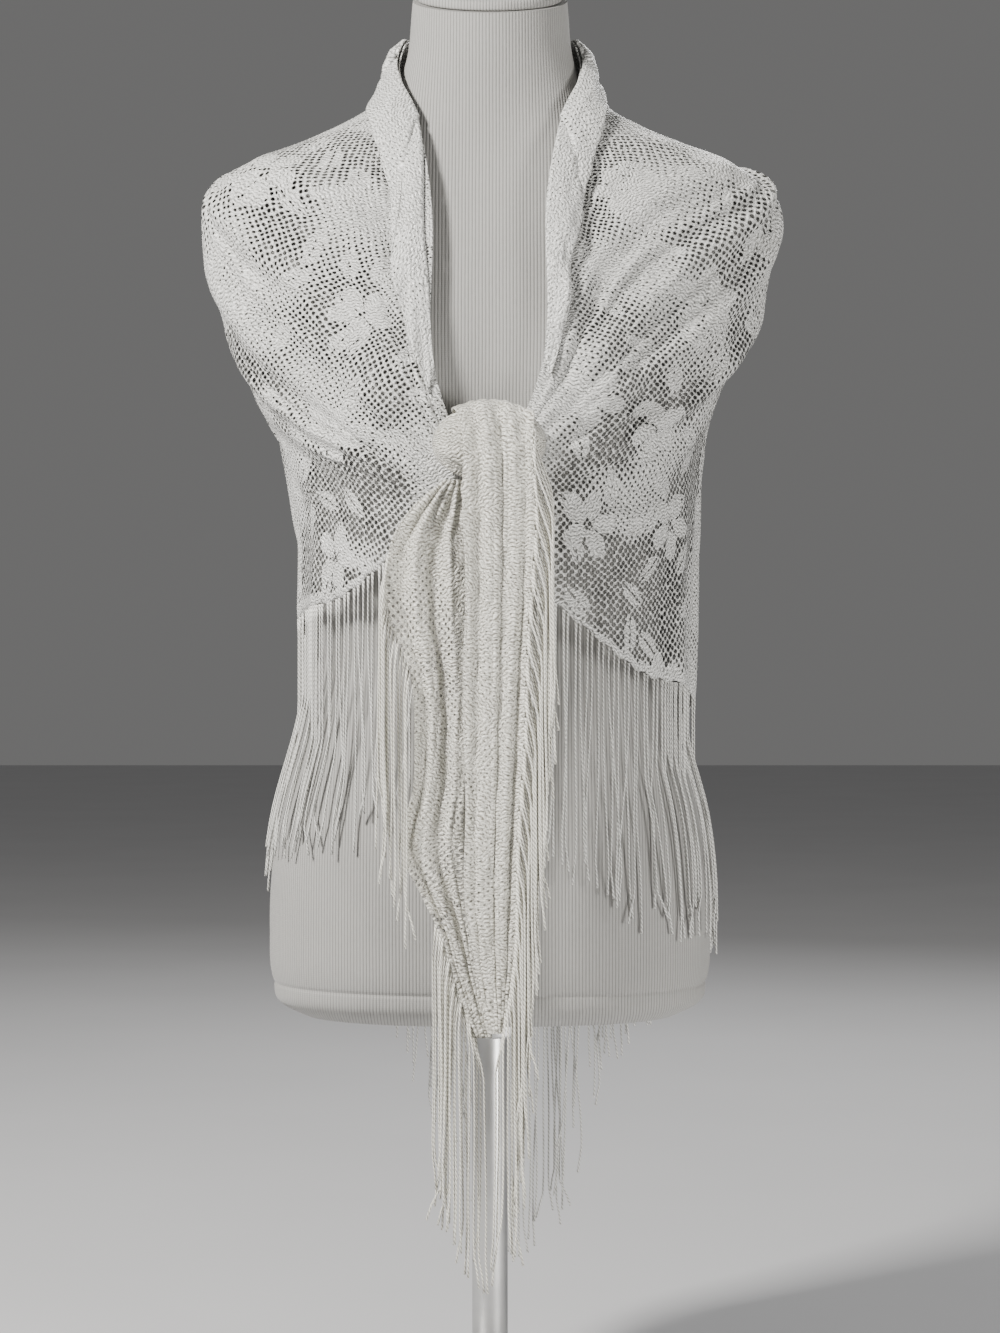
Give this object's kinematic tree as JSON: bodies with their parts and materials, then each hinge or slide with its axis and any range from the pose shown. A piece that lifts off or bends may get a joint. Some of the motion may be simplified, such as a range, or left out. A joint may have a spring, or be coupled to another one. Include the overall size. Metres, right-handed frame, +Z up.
{
  "type": "lace shawl on a dress form",
  "caption": "Fringed triangular shawl of ivory knitted lace, tied in a half knot in front of a limbless dress form that stands on a pole and a round base.",
  "frame": {"origin": "centre of the stand base's underside", "axes": "+Z up along the pole, -Y towards the front with the knot, +X to the right as seen from the front"},
  "size_m": [0.4037, 0.3021, 1.0211],
  "materials": {
    "ivory_lace_knit": "silky knit with a sheen",
    "ivory_fringe_cord": "silky twisted cord",
    "ribbed_jersey": "matt fine rib",
    "pale_metal": "satin"
  },
  "bodies": {
    "root": {"shawl_back": "ivory_lace_knit", "shawl_left_front": "ivory_lace_knit", "shawl_right_front": "ivory_lace_knit", "collar": "ivory_lace_knit", "knot": "ivory_lace_knit", "tail_over": "ivory_lace_knit", "tail_under": "ivory_lace_knit", "fringe_left_back": "ivory_fringe_cord", "fringe_left_front": "ivory_fringe_cord", "fringe_right_back": "ivory_fringe_cord", "fringe_right_front": "ivory_fringe_cord", "fringe_tail_over": "ivory_fringe_cord", "fringe_tail_tip": "ivory_fringe_cord", "fringe_tail_under": "ivory_fringe_cord", "form_body": "ribbed_jersey", "form_neck_cap": "ribbed_jersey", "stand_socket": "pale_metal", "stand_pole": "pale_metal", "stand_base": "pale_metal"}
  },
  "joints": []
}
